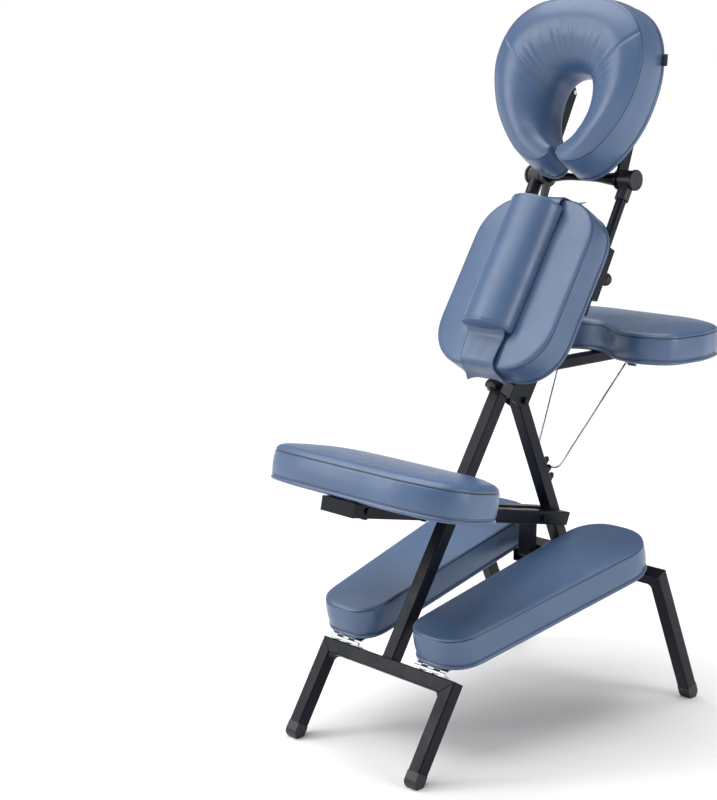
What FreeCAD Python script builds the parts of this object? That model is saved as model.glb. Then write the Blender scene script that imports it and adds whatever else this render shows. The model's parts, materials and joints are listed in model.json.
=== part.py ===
import FreeCAD, Part
import math
import os

# Folding kneeling massage chair, millimetres, +Z up, +X to the sitter's right, sitter faces +Y.
# Two flat tube frames cross in an A: the front frame carries seat, chest pad and face cradle,
# the rear frame carries the armrest prop and the back ends of the shin pads.

os.makedirs("parts", exist_ok=True)
V = FreeCAD.Vector

# ---- driving dimensions -------------------------------------------------------------
Y_SHIFT = -408.0          # moves the front foot line so that the bounding box is centred
TUBE = 25.0               # square tube, outside
WALL = 1.5
TUBE_R = 2.5
ALPHA = 31.8              # lean of the front frame from vertical
BETA = 24.05              # lean of the rear frame from vertical
REAR_Y = 675.8            # rear foot line behind the front foot line
FRONT_W = 320.0           # front crossbar length
FRONT_S = 194.4           # top of front crossbar along the frame
REAR_W = 465.0
REAR_S = 288.0
FRONT_FOOT_S = 34.0       # where a leg tube ends and its foot begins
REAR_FOOT_S = 22.0
SPINE_TOP = 745.0
REAR_PIVOT_S = 622.5                # frame pivot, along the strut
BAR_Z, BAR_TILT = 465.0, 12.0       # seat bar top plane
BAR_Y0, BAR_Y1 = -8.0, 556.0
BAR_GAP = 28.0
SEAT_PIN_Y = 269.3                  # along the bars
LINK_Y = 482.0
ARM_PIVOT = (467.0, 627.0)
SHIN_HINGE = (103.0, 174.0)
SHIN_TILT = 12.2
HUB = (602.0, 966.0)
HUB_LEAN = 17.0
POST_X, POST_R, POST_LEAN = 105.0, 9.5, 28.1
PIN_CLEAR = 0.06


# ---- helpers ------------------------------------------------------------------------
def box(x0, x1, y0, y1, z0, z1):
    return Part.makeBox(x1 - x0, y1 - y0, z1 - z0, V(x0, y0, z0))


def rod(r, a, b):
    a, b = V(*a), V(*b)
    return Part.makeCylinder(r, (b - a).Length, a, b - a)


def rounded(points, radii):
    """Closed wire in XY through the corner points, each corner rounded by its radius."""
    count = len(points)
    if not isinstance(radii, (list, tuple)):
        radii = [radii] * count
    starts, mids, ends = [], [], []
    for i in range(count):
        p = V(points[i][0], points[i][1], 0)
        u = (V(points[i - 1][0], points[i - 1][1], 0) - p).normalize()
        w = V(points[(i + 1) % count][0], points[(i + 1) % count][1], 0) - p
        w = w.normalize()
        half = math.acos(max(-1.0, min(1.0, u.dot(w)))) / 2
        reach = radii[i] / math.tan(half)
        middle = (u + w).normalize()
        centre = p + middle * (radii[i] / math.sin(half))
        starts.append(p + u * reach)
        mids.append(centre - middle * radii[i])
        ends.append(p + w * reach)
    edges = []
    for i in range(count):
        edges.append(Part.Arc(starts[i], mids[i], ends[i]).toShape())
        nxt = starts[(i + 1) % count]
        if (nxt - ends[i]).Length > 1e-6:
            edges.append(Part.makeLine(ends[i], nxt))
    return Part.Wire(edges)


def slab(wire, z0, z1):
    face = Part.Face(wire)
    face.translate(V(0, 0, z0))
    return face.extrude(V(0, 0, z1 - z0))


def rect(x0, x1, y0, y1, r):
    return rounded([(x0, y0), (x1, y0), (x1, y1), (x0, y1)], r)


def tube_z(cx, cy, w, d, z0, z1, wall=WALL, r=TUBE_R):
    """Rectangular tube along Z."""
    outer = slab(rect(cx - w / 2, cx + w / 2, cy - d / 2, cy + d / 2, r), z0, z1)
    w, d = w - 2 * wall, d - 2 * wall
    inner = slab(rect(cx - w / 2, cx + w / 2, cy - d / 2, cy + d / 2, max(r - wall, 0.6)), z0 - 1, z1 + 1)
    return outer.cut(inner)


def tube_x(x0, x1, cy, cz, d, h):
    """Rectangular tube along X: d is its depth in Y, h its height in Z."""
    t = tube_z(-cz, cy, h, d, x0, x1)
    t.rotate(V(0, 0, 0), V(0, 1, 0), 90)
    return t


def tube_y(cx, cz, w, h, y0, y1):
    t = tube_z(cx, cz, w, h, -y1, -y0)
    t.rotate(V(0, 0, 0), V(1, 0, 0), 90)
    return t


def moved(shape, matrix):
    copy = shape.copy()
    copy.transformShape(matrix, True)
    return copy


def profile_x(points, x0, x1, radii=None):
    """Prism along X of a (y, z) outline."""
    if radii is None:
        wire = Part.makePolygon([V(p[0], p[1], 0) for p in points] + [V(points[0][0], points[0][1], 0)])
    else:
        wire = rounded(points, radii)
    solid = slab(wire, 0, x1 - x0)
    return moved(solid, FreeCAD.Matrix(0, 0, 1, x0, 1, 0, 0, 0, 0, 1, 0, 0, 0, 0, 0, 1))


def soften(solid, radius, pick):
    edges = [e for e in solid.Edges if pick(e)]
    return solid.makeFillet(radius, edges)


def at_level(z):
    return lambda e: all(abs(v.Z - z) < 1e-4 for v in e.Vertexes) and abs(e.BoundBox.ZLength) < 1e-4


def cushion(wire, z0, z1, top_r, low_r=3.0):
    """Padded block: a soft rounded top edge and a small rolled lower edge."""
    pad = slab(wire, z0, z1)
    pad = soften(pad, top_r, at_level(z1))
    return soften(pad, low_r, at_level(z0))


def mirror_x(shape):
    return shape.mirror(V(0, 0, 0), V(1, 0, 0))


def group(shapes):
    return Part.makeCompound(shapes)


def place(shape, y, z, angle):
    s = shape.copy()
    s.rotate(V(0, 0, 0), V(1, 0, 0), angle)
    s.translate(V(0, y + Y_SHIFT, z))
    return s


def front(shape):
    """Local y is the depth through the front frame, local z runs up along it."""
    return place(shape, 0, 0, -ALPHA)


def rear(shape):
    return place(shape, REAR_Y, 0, BETA)


def bars(shape):
    return place(shape, 0, BAR_Z, -BAR_TILT)


def shin(shape):
    return place(shape, SHIN_HINGE[0], SHIN_HINGE[1], SHIN_TILT)


def head(shape):
    return place(shape, HUB[0], HUB[1], -HUB_LEAN)


def plain(shape):
    return place(shape, 0, 0, 0)


NODES = {}


def add(name, shape):
    NODES[name] = shape


# ---- feet: rounded plastic ends with a stub inside the tube and a flat sole ----------
def foot(cx, s_top, s_centre, angle, base_y):
    h = TUBE / 2
    body = box(-h, h, 0, TUBE, s_centre, s_top)
    body = body.fuse(rod(h, (-h, h, s_centre), (h, h, s_centre)))
    stub = box(-h + 3, h - 3, 3, TUBE - 3, s_top - 1, s_top + 24)
    body = body.fuse(stub).removeSplitter()
    body.translate(V(cx, 0, 0))
    body = place(body, base_y, 0, angle)
    return body.cut(Part.makeBox(900, 1600, 60, V(-450, -800, -60)))


lean_a = math.radians(ALPHA)
lean_b = math.radians(BETA)
half = TUBE / 2
pivot_y = REAR_Y - REAR_PIVOT_S * math.sin(lean_b) + half * math.cos(lean_b)
pivot_z = REAR_PIVOT_S * math.cos(lean_b) + half * math.sin(lean_b)
PIVOT_S = pivot_y * math.sin(lean_a) + pivot_z * math.cos(lean_a)
PIVOT_O = pivot_y * math.cos(lean_a) - pivot_z * math.sin(lean_a)
fx = FRONT_W / 2 - half
rx = REAR_W / 2 - half

# ---- front frame --------------------------------------------------------------------


def gusset(sx, x, s_top):
    """Filled weld fillet in the inside corner between a leg and its crossbar."""
    web = Part.Face(Part.Wire([
        Part.makeLine(V(0, 0, 0), V(14, 0, 0)),
        Part.Arc(V(14, 0, 0), V(4.1, -4.1, 0), V(0, -14, 0)).toShape(),
        Part.makeLine(V(0, -14, 0), V(0, 0, 0))]))
    solid = moved(web.extrude(V(0, 0, TUBE - 6)), FreeCAD.Matrix(-1, 0, 0, x, 0, 0, 1, 3, 0, 1, 0, s_top, 0, 0, 0, 1))
    return solid if sx > 0 else mirror_x(solid)


def wedge(sx, width, top, outer):
    """Prism on one side of the 45 degree mitre line of a frame corner."""
    x0, x1 = width / 2 - TUBE, width / 2
    third = (x1 + 2, top - TUBE - 2) if outer else (x0 - 2, top + 2)
    pts = [V(x0 - 2, -5, top - TUBE - 2), V(x1 + 2, -5, top + 2), V(third[0], -5, third[1])]
    solid = Part.Face(Part.makePolygon(pts + [pts[0]])).extrude(V(0, TUBE + 10, 0))
    return solid if sx > 0 else mirror_x(solid)


def crossbar(width, top):
    bar = tube_x(-width / 2, width / 2, half, top - half, TUBE, TUBE)
    bar = bar.cut(wedge(1, width, top, True)).cut(wedge(-1, width, top, True))
    webs = [gusset(sx, width / 2 - TUBE, top - TUBE) for sx in (-1, 1)]
    return bar.fuse(webs).removeSplitter()


def legs(width, top, s_foot):
    out = []
    for sx in (-1, 1):
        leg = tube_z(sx * (width / 2 - half), half, TUBE, TUBE, s_foot, top)
        out.append(leg.cut(wedge(sx, width, top, False)))
    return out


add("front_crossbar", front(crossbar(FRONT_W, FRONT_S)))
add("front_legs", group([front(leg) for leg in legs(FRONT_W, FRONT_S, FRONT_FOOT_S)]))
add("front_feet", group([foot(sx * fx, FRONT_FOOT_S, 20.1, -ALPHA, 0) for sx in (-1, 1)]))

spine = tube_z(0, half, TUBE, TUBE, FRONT_S, SPINE_TOP)
# seat pivot height on the spine: where the bar centre line crosses the spine centre line
bt = math.radians(BAR_TILT)
pin_y = SEAT_PIN_Y * math.cos(bt) - half * math.sin(bt)
pin_z = BAR_Z - SEAT_PIN_Y * math.sin(bt) - half * math.cos(bt)
seat_s = pin_y * math.sin(lean_a) + pin_z * math.cos(lean_a)
seat_o = pin_y * math.cos(lean_a) - pin_z * math.sin(lean_a)
spine = spine.cut(rod(4.0, (-30, seat_o, seat_s), (30, seat_o, seat_s)))
LOCK_S = 708.0
spine = spine.cut(rod(3.3, (0, -3, LOCK_S), (0, 6, LOCK_S)))
add("front_spine", front(spine))
shaft = rod(4.0, (-BAR_GAP / 2 - TUBE - 1.2, seat_o, seat_s), (BAR_GAP / 2 + TUBE + 1.2, seat_o, seat_s))
heads = [rod(8.0, (sx * (BAR_GAP / 2 + TUBE + 1.2), seat_o, seat_s),
             (sx * (BAR_GAP / 2 + TUBE + 6.2), seat_o, seat_s)) for sx in (-1, 1)]
add("seat_pivot_bolt", front(shaft.fuse(heads).removeSplitter()))

# collar round the mouth of the spine, open to the back where the pivot bracket is welded
outer = slab(rect(-16.5, 16.5, -4.0, TUBE - 0.2, 2.0), 702, 726)
spine_skin = slab(rect(-half, half, 0, TUBE, TUBE_R), 700, 730)
collar = outer.cut(spine_skin).cut(box(-half, half, TUBE - 3, TUBE + 5, 700, 730))
collar = collar.cut(rod(3.3, (0, -8, LOCK_S), (0, 6, LOCK_S)))
add("spine_collar", front(collar))

# pivot bracket: a folded channel behind the spine that holds strut and armrest bar
BR_S0, BR_S1, BR_O1 = 702.0, 812.0, 80.0
cheek = [(TUBE, BR_S0 + 6), (TUBE + 12, BR_S0), (BR_O1 - 8, BR_S0), (BR_O1, BR_S0 + 8),
         (BR_O1, BR_S1 - 10), (BR_O1 - 10, BR_S1), (TUBE, BR_S1)]
plates = [profile_x(cheek, x, x + 3.0) for x in (-16.0, 13.0)]
web = box(-13.0, 13.0, TUBE, TUBE + 2.5, BR_S0 + 6, BR_S1)
bracket = plates[0].fuse([plates[1], web]).removeSplitter()
arm_s = ARM_PIVOT[0] * math.sin(lean_a) + ARM_PIVOT[1] * math.cos(lean_a)
arm_o = ARM_PIVOT[0] * math.cos(lean_a) - ARM_PIVOT[1] * math.sin(lean_a)
for s, o in ((PIVOT_S, PIVOT_O), (arm_s, arm_o)):
    bracket = bracket.cut(rod(4.0, (-30, o, s), (30, o, s)))
add("pivot_bracket", front(bracket))


def hex_bolt(o, s, reach):
    shank = rod(4.0, (-reach, o, s), (reach, o, s))
    ends = [rod(7.0, (sx * reach, o, s), (sx * (reach + 2.0), o, s)) for sx in (-1, 1)]
    hexes = []
    for sx in (-1, 1):
        pts = [V(sx * (reach + 2.0), o + 6.2 * math.cos(math.radians(60 * k)),
                 s + 6.2 * math.sin(math.radians(60 * k))) for k in range(6)]
        face = Part.Face(Part.makePolygon(pts + [pts[0]]))
        hexes.append(face.extrude(V(sx * 4.5, 0, 0)))
    return shank.fuse(ends + hexes).removeSplitter()


add("bracket_bolts", group([front(hex_bolt(PIVOT_O, PIVOT_S, 16.0)), front(hex_bolt(arm_o, arm_s, 16.0))]))

knob = rod(3.0, (0, -0.6, LOCK_S), (0, -22, LOCK_S))
knob = knob.fuse([rod(6.5, (0, -6.0, LOCK_S), (0, -12, LOCK_S)), rod(8.5, (0, -14, LOCK_S), (0, -22, LOCK_S))])
add("height_lock_knob", front(knob.removeSplitter()))

# ---- rear frame -----------------------------------------------------------------------
strut = tube_z(0, half, TUBE, TUBE, REAR_S, REAR_PIVOT_S + 17)
strut = strut.cut(rod(4.0 + PIN_CLEAR, (-30, half, REAR_PIVOT_S), (30, half, REAR_PIVOT_S)))
add("rear_strut", rear(strut))
add("rear_crossbar", rear(crossbar(REAR_W, REAR_S)))
add("rear_legs", group([rear(leg) for leg in legs(REAR_W, REAR_S, REAR_FOOT_S)]))
add("rear_feet", group([foot(sx * rx, REAR_FOOT_S, 5.9, BETA, REAR_Y) for sx in (-1, 1)]))

# channel from the rear crossbar towards the seat: the link foot rests and rides in it
CH_Y0, CH_Z0, CH_W, CH_H = 455.0, 268.0, 44.0, 22.0
cross_front = [(REAR_Y - s * math.sin(lean_b), s * math.cos(lean_b)) for s in (REAR_S - TUBE, REAR_S)]
slope = (cross_front[1][0] - cross_front[0][0]) / (cross_front[1][1] - cross_front[0][1])
z_hi = cross_front[1][1]


def front_face_y(z):
    return cross_front[0][0] + (z - cross_front[0][1]) * slope


z_low = z_hi - 20.0
side_pts = [(CH_Y0, CH_Z0 - 6), (CH_Y0 + 76, CH_Z0 - 6), (front_face_y(z_low), z_low), (front_face_y(z_hi), z_hi),
            (CH_Y0 + 60, CH_Z0 + 12), (CH_Y0, CH_Z0 + 16)]
sides = [profile_x(side_pts, x, x + 2.5) for x in (-CH_W / 2, CH_W / 2 - 2.5)]
floor_pts = [(CH_Y0, CH_Z0 - 6), (front_face_y(CH_Z0 - 6), CH_Z0 - 6),
             (front_face_y(CH_Z0 - 3.5), CH_Z0 - 3.5), (CH_Y0, CH_Z0 - 3.5)]
channel = sides[0].fuse([sides[1], profile_x(floor_pts, -CH_W / 2 + 2.5, CH_W / 2 - 2.5)])
add("crossbar_channel", plain(channel.removeSplitter()))

# toothed rack on the back of the strut: three upward hooks for the armrest prop
RACK_S0, RACK_PITCH = 437.0, 18.0
rack_pts = [(TUBE, RACK_S0 - 8), (TUBE + 4, RACK_S0 - 8)]
for k in range(3):
    base = RACK_S0 + k * RACK_PITCH
    rack_pts += [(TUBE + 16, base - 2), (TUBE + 18, base + 4.5), (TUBE + 14.5, base + 4.5),
                 (TUBE + 11.5, base + 1.5), (TUBE + 6.5, base + 3.5), (TUBE + 4, base + 11)]
rack_pts += [(TUBE + 4, RACK_S0 + 60), (TUBE, RACK_S0 + 60)]
add("prop_rack", rear(profile_x(rack_pts, -4.0, 4.0)))
NOTCH_S, NOTCH_O = RACK_S0 + RACK_PITCH + 8.4, TUBE + 9.1

# rubber strips on the rear crossbar that carry the shin boards
add("shin_rests", group([rear(box(sx * 150 - 26, sx * 150 + 26, TUBE - 8, TUBE - 2, REAR_S, REAR_S + 5.8))
                         for sx in (-1, 1)]))

# ---- seat: two bars, board, cushion ----------------------------------------------------
bar_x = BAR_GAP / 2 + half
frame_parts = [box(-39, 39, BAR_Y0 - 3, BAR_Y0, -TUBE, -0.5)]
for sx in (-1, 1):
    bar = tube_y(sx * bar_x, -half, TUBE, TUBE, BAR_Y0, BAR_Y1)
    end = profile_x([(BAR_Y1, -0.5), (BAR_Y1 - 5, -TUBE + 0.5), (BAR_Y1 - 9, -TUBE + 0.5), (BAR_Y1 - 9, -0.5)],
                    sx * bar_x - half + 0.5, sx * bar_x + half - 0.5)
    slant = profile_x([(BAR_Y1 + 1, 1), (BAR_Y1 + 1, -TUBE - 1), (BAR_Y1 - 5, -TUBE - 1), (BAR_Y1 + 0.3, 1)],
                      sx * bar_x - 20, sx * bar_x + 20)
    bar = bar.fuse(end).cut(slant)
    bar = bar.cut(rod(4.0 + PIN_CLEAR, (-60, SEAT_PIN_Y, -half), (60, SEAT_PIN_Y, -half)))
    bar = bar.cut(rod(4.0, (-60, LINK_Y, -half), (60, LINK_Y, -half)))
    frame_parts.append(bar)
seat_frame = frame_parts[0].fuse(frame_parts[1:]).removeSplitter()
add("seat_bars", bars(seat_frame))
add("link_pin", bars(rod(4.0, (-BAR_GAP / 2 - TUBE - 1, LINK_Y, -half), (BAR_GAP / 2 + TUBE + 1, LINK_Y, -half))
                     .fuse([rod(7.0, (sx * 40, LINK_Y, -half), (sx * 43.5, LINK_Y, -half)) for sx in (-1, 1)])
                     .removeSplitter()))
SEAT_OUT = [(-205, 8), (-120, -6), (120, -6), (205, 8), (226, 60), (212, 150), (120, 208),
            (-120, 208), (-212, 150), (-226, 60)]
SEAT_RAD = [48, 90, 90, 48, 60, 60, 90, 90, 60, 60]
board_out = [(x * 0.93, (y - 101) * 0.90 + 101) for x, y in SEAT_OUT]
add("seat_board", bars(slab(rounded(board_out, [r * 0.9 for r in SEAT_RAD]), 0.0, 9.0)))
add("seat_cushion", bars(cushion(rounded(SEAT_OUT, SEAT_RAD), 9.0, 70.0, 14.0)))
screws = []
for sx in (-1, 1):
    for y in (28.0, 172.0):
        screws.append(bars(rod(5.5, (sx * bar_x, y, -TUBE - 3), (sx * bar_x, y, -TUBE))))
for sx in (-1, 1):
    screws.append(bars(rod(6.0, (sx * (bar_x + half), 22, -half), (sx * (bar_x + half + 4), 22, -half))))
add("seat_bolts", group(screws))

# ---- link between the seat bars and the channel ----------------------------------------
link_top = (LINK_Y * math.cos(bt) - half * math.sin(bt), BAR_Z - LINK_Y * math.sin(bt) - half * math.cos(bt))
foot_z = CH_Z0 - 3.5 + 2.2 + 8.0 - link_top[1]
roller = rod(8.0, (-18.5, 0, foot_z), (18.5, 0, foot_z))
lk = box(-13.5, 13.5, -9.5, 9.5, foot_z + 2.0, 0)
lk = lk.fuse(rod(9.5, (-13.5, 0, 0), (13.5, 0, 0))).removeSplitter().cut(roller)
lk = lk.cut(rod(4.0 + PIN_CLEAR, (-20, 0, 0), (20, 0, 0)))
add("brace_link", place(lk, link_top[0], link_top[1], 0))
add("brace_roller", place(roller, link_top[0], link_top[1], 0))

# ---- shin pads ----------------------------------------------------------------------------
SHIN_OUT = [(44, 0), (172, 0), (236, 493), (60, 493)]
SHIN_RAD = [44, 56, 78, 62]


def shrink(points, amount):
    cx = sum(p[0] for p in points) / len(points)
    cy = sum(p[1] for p in points) / len(points)
    out = []
    for x, y in points:
        out.append((x - math.copysign(amount, x - cx), y - math.copysign(amount, y - cy)))
    return out


def shin_node(name, shape):
    add(name + "_right", shin(shape))
    add(name + "_left", shin(mirror_x(shape)))


shin_node("shin_board", slab(rounded(shrink(SHIN_OUT, 7), [r - 7 for r in SHIN_RAD]), 1.5, 11.5))
shin_node("shin_cushion", cushion(rounded(SHIN_OUT, SHIN_RAD), 11.5, 64.0, 13.0))
# hinge: knuckle on the crossbar's front top corner
HX0, HX1, KN_R = 68.0, 140.0, 3.2
kz, ky = -2.2, -3.4
moving = box(HX0, HX1, 3.0, 34.0, 0.0, 1.5)
knuckles_m = [(HX0 + 14.6, HX0 + 28.8), (HX0 + 43.2, HX0 + 57.4)]
knuckles_f = [(HX0, HX0 + 14.2), (HX0 + 29.2, HX0 + 42.8), (HX0 + 57.8, HX1)]
mv = moving
for a, b in knuckles_m:
    mv = mv.fuse([rod(KN_R, (a, ky, kz), (b, ky, kz)), box(a, b, ky, 3.2, kz + 1.7, kz + 3.2)])
mv = mv.fuse(box(HX0, HX1, 3.0, 6.0, -0.1, 1.5)).removeSplitter()
mv = mv.cut(rod(1.6 + PIN_CLEAR, (HX0 - 1, ky, kz), (HX1 + 1, ky, kz)))
shin_node("shin_hinge_leaf", mv)
ang = math.radians(SHIN_TILT)
hinge_y = SHIN_HINGE[0] + ky * math.cos(ang) - kz * math.sin(ang)
hinge_z = SHIN_HINGE[1] + ky * math.sin(ang) + kz * math.cos(ang)
hs = hinge_y * math.sin(lean_a) + hinge_z * math.cos(lean_a)
ho = hinge_y * math.cos(lean_a) - hinge_z * math.sin(lean_a)
fixed_leaves, pins = [], []
for sx in (1, -1):
    fl = box(HX0, HX1, 1.0, 22.0, FRONT_S, FRONT_S + 1.5)
    for a, b in knuckles_f:
        fl = fl.fuse([rod(KN_R, (a, ho, hs), (b, ho, hs)),
                      box(a, b, min(ho, 1.0), 2.0, FRONT_S, FRONT_S + 1.5),
                      box(a, b, ho - 0.8, ho + 0.8, min(FRONT_S, hs), max(FRONT_S + 1.5, hs))])
    fl = fl.removeSplitter().cut(rod(1.6, (HX0 - 1, ho, hs), (HX1 + 1, ho, hs)))
    pn = rod(1.6, (HX0 - 0.5, ho, hs), (HX1 + 0.5, ho, hs))
    if sx < 0:
        fl, pn = mirror_x(fl), mirror_x(pn)
    fixed_leaves.append(front(fl))
    pins.append(front(pn))
add("shin_hinge_base", group(fixed_leaves))
add("shin_hinge_pins", group(pins))

# ---- chest carrier: slides in the spine ---------------------------------------------------
CARR_S0, CARR_S1 = 560.0, 1020.0
carrier = tube_z(0, half, 20.0, 20.0, CARR_S0, CARR_S1, 1.5, 1.5)
for k in range(4):
    s = LOCK_S - 18.0 * k
    carrier = carrier.cut(rod(3.3, (0, -1, s), (0, 8, s)))
post_drop = math.radians(POST_LEAN)


def post_point(z):
    """Centre of a headrest post at height z."""
    return HUB[0] - (HUB[1] - z) * math.tan(post_drop), z


def post_frame(shape, x):
    """Local z runs down-to-up along the post, origin on the hub axis."""
    s = shape.copy()
    s.translate(V(x, 0, 0))
    return place(s, HUB[0], HUB[1], -POST_LEAN)


SOCK_T, SOCK_B = -132.0, -230.0
sockets = []
for sx in (-1, 1):
    so = slab(rect(-14, 14, -14, 14, 2.5), SOCK_B, SOCK_T)
    so = so.cut(rod(POST_R + 0.08, (0, 0, SOCK_B - 1), (0, 0, SOCK_T + 1)))
    so = so.cut(rod(3.5, (0, 5, -181), (0, 20, -181)))
    sockets.append(post_frame(so, sx * POST_X))
add("post_sockets", group(sockets))
arms = []
for s in (930.0, 985.0):
    for sx in (-1, 1):
        arm = tube_z(-s, half, 20.0, 18.0, 10.0, POST_X - 14.0)
        arm.rotate(V(0, 0, 0), V(0, 1, 0), 90)
        arms.append(arm if sx > 0 else mirror_x(arm))
add("carrier_frame", front(carrier.fuse(arms).removeSplitter()))
add("chest_plate", front(box(-60, 60, -0.3, 2.5, 770, 1010)))
CHEST_OUT = [(-132, 722), (132, 722), (132, 1058), (-132, 1058)]
add("chest_board", front(box(-88, 88, -12.3, -0.3, 742, 1046)))


def chest_frame(shape):
    """Local x across, local y up along the spine, local z out towards the sitter."""
    return front(moved(shape, FreeCAD.Matrix(1, 0, 0, 0, 0, 0, -1, 0, 0, 1, 0, 0, 0, 0, 0, 1)))


add("chest_cushion", chest_frame(cushion(rounded(CHEST_OUT, 78), 12.6, 74.0, 13.0)))
ROLL_W, ROLL_H = 54.0, 48.0
arc = Part.Arc(V(-ROLL_W, -74.0, 788), V(0, -74.0 - ROLL_H, 788), V(ROLL_W, -74.0, 788)).toShape()
roll_face = Part.Face(Part.Wire([arc, Part.makeLine(V(ROLL_W, -74.0, 788), V(-ROLL_W, -74.0, 788))]))
add("chest_bolster", front(roll_face.extrude(V(0, 0, 250))))


def strap(points):
    return profile_x(points, -46, 46)


strap_top = front(strap([(-76.0, 1038), (-74.0, 1038), (-74.0, 1058), (-24, 1058), (-24, 1060), (-76.0, 1060)]))
strap_low = front(strap([(-76.0, 788), (-76.0, 720), (-24, 720), (-24, 722), (-74.0, 722), (-74.0, 788)]))
add("bolster_straps", group([strap_top, strap_low]))

stud = rod(2.8, (0, 9.8, -181), (0, 20.0, -181))
ball = Part.makeSphere(12.0, V(0, 30.0, -181))
for side, sx in (("left", -1), ("right", 1)):
    kn = ball.fuse([stud, rod(7.0, (0, 15.0, -181), (0, 24.0, -181))]).removeSplitter()
    add("post_knob_" + side, post_frame(kn, sx * POST_X))

# ---- headrest posts and hubs ------------------------------------------------------------------
posts = [post_frame(rod(POST_R, (0, 0, -262), (0, 0, -22)), sx * POST_X) for sx in (-1, 1)]
add("headrest_posts", group(posts))
hubs = []
for sx in (-1, 1):
    collar = rod(12.9, (0, 0, -40), (0, 0, -10))
    barrel = rod(17.0, (-13, 0, 0), (13, 0, 0))
    hub = collar.fuse(barrel).removeSplitter().cut(rod(POST_R, (0, 0, -60), (0, 0, -22)))
    hub = hub.cut(rod(6.0, (-20, 0, 0), (20, 0, 0)))
    hubs.append(post_frame(hub, sx * POST_X))
add("cradle_hubs", group(hubs))
waist = [(-92, 0), (-92, 12.5), (-74, 12.0), (-40, 7.5), (0, 6.5), (40, 7.5), (74, 12.0), (92, 12.5), (92, 0)]
curve = Part.BSplineCurve()
curve.interpolate([V(x, r, 0) for x, r in waist[1:-1]])
edge_list = [Part.makeLine(V(-92, 0, 0), V(-92, 12.5, 0)), curve.toShape(),
             Part.makeLine(V(92, 12.5, 0), V(92, 0, 0)), Part.makeLine(V(92, 0, 0), V(-92, 0, 0))]
bar = Part.Face(Part.Wire(edge_list)).revolve(V(0, 0, 0), V(1, 0, 0), 360)
axle = rod(6.0, (-118, 0, 0), (118, 0, 0))
add("cradle_crossbar", head(bar.fuse(axle).removeSplitter()))
hub_cap = rod(19.0, (118, 0, 0), (124, 0, 0))
hub_cap = soften(hub_cap, 1.5, lambda e: abs(e.BoundBox.XMin - 124) < 1e-3 and e.BoundBox.XLength < 1e-3)
add("hub_caps", group([head(hub_cap), head(mirror_x(hub_cap))]))

# ---- face cradle: tilts about the hub axis ------------------------------------------------------
C_O0, C_O1 = -31.0, -22.0
arm_pts = [(-14, -14), (14, -14), (15, 20), (16, 100), (8, 128), (-8, 128), (-10, 60)]
cradle_arm = profile_x(arm_pts, 84.0, 89.0, [10, 10, 6, 6, 6, 6, 6])
cradle_arm = cradle_arm.cut(rod(13.2, (70, 0, 0), (95, 0, 0)))
ring = rod(19.0, (84, 0, 0), (89, 0, 0)).cut(rod(13.0, (80, 0, 0), (95, 0, 0)))
cradle_arm = cradle_arm.fuse(ring).removeSplitter()
add("cradle_arms", group([head(cradle_arm), head(mirror_x(cradle_arm))]))
brk = profile_x([(C_O1, 40), (6, 62), (6, 118), (C_O1, 150)], 89.2, 92.7, [3, 6, 6, 3])
foot_plate = box(72, 92.7, C_O1, C_O1 + 2.5, 44, 146)
brk = brk.fuse(foot_plate).removeSplitter()
add("cradle_brackets", group([head(brk), head(mirror_x(brk))]))
lever_pts = [(-19, 66), (-6, 62), (2, 110), (10, 160), (2, 170), (-8, 168), (-19, 110)]
lever = profile_x(lever_pts, 62.0, 65.0, [5, 6, 8, 5, 4, 6, 8])
lever = lever.fuse([box(62, 65, C_O1, -14, 72, 106), box(62, 71.5, C_O1, C_O1 + 2.5, 72, 106)]).removeSplitter()
add("cradle_levers", group([head(lever), head(mirror_x(lever))]))
rivets = []
for sx in (-1, 1):
    for o, w in ((-12, 72), (2, 160)):
        rv = rod(4.0, (sx * 65.0, o, w), (sx * 67.0, o, w))
        rivets.append(head(rv))
        rivets.append(head(rod(4.0, (sx * 60.0, o, w), (sx * 62.0, o, w))))
    for o, w in ((-1, 78), (-1, 104)):
        rivets.append(head(rod(5.0, (sx * 92.7, o, w), (sx * 95.7, o, w))))
add("cradle_rivets", group(rivets))
half_out = [(6, -2), (30, -14), (66, -12), (112, 32), (156, 110), (158, 205), (118, 286), (45, 306)]
half_in = [(26, 172), (46, 150), (50, 100), (36, 50), (6, 22)]
path = half_out + [(-x, y) for x, y in reversed(half_out)] + [(-x, y) for x, y in reversed(half_in)] + half_in
radii = [8, 22, 24, 60, 60, 60, 60, 80] + [80, 60, 60, 60, 60, 24, 22, 8] + [8, 20, 30, 18, 16] + [16, 18, 30, 20, 8]


def head_plane(shape):
    """Local x across, local y up along the cradle, local z out towards the face."""
    return head(moved(shape, FreeCAD.Matrix(1, 0, 0, 0, 0, 0, -1, 0, 0, 1, 0, 0, 0, 0, 0, 1)))


add("face_cushion", head_plane(cushion(rounded(path, radii), -C_O0 + 0.3, 104.0, 6.0)))
pl_half_out = [(26, 20), (62, 10), (100, 45), (136, 112), (138, 200), (104, 264), (40, 284)]
pl_half_in = [(34, 196), (60, 170), (66, 100), (52, 56), (26, 36)]
pl_path = pl_half_out + [(-x, y) for x, y in reversed(pl_half_out)] \
    + [(-x, y) for x, y in reversed(pl_half_in)] + pl_half_in
pl_rad = [7, 14, 30, 40, 40, 40, 50] + [50, 40, 40, 40, 30, 14, 7] + [7, 16, 30, 14, 14] + [14, 14, 30, 16, 7]
add("cradle_platform", head_plane(slab(rounded(pl_path, pl_rad), -C_O1, -C_O0)))
cam = rod(21.0, (-83.6, 0, 0), (-77.0, 0, 0)).cut(rod(13.2, (-90, 0, 0), (-70, 0, 0)))
handle = profile_x([(-9, -16), (9, -16), (7, -52), (0, -60), (-7, -52)], -83.6, -77.0, [3, 3, 3, 5, 3])
handle = handle.cut(rod(20.0, (-90, 0, 0), (-70, 0, 0)))
add("tilt_clamp_lever", head(cam.fuse(handle).removeSplitter()))

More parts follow.
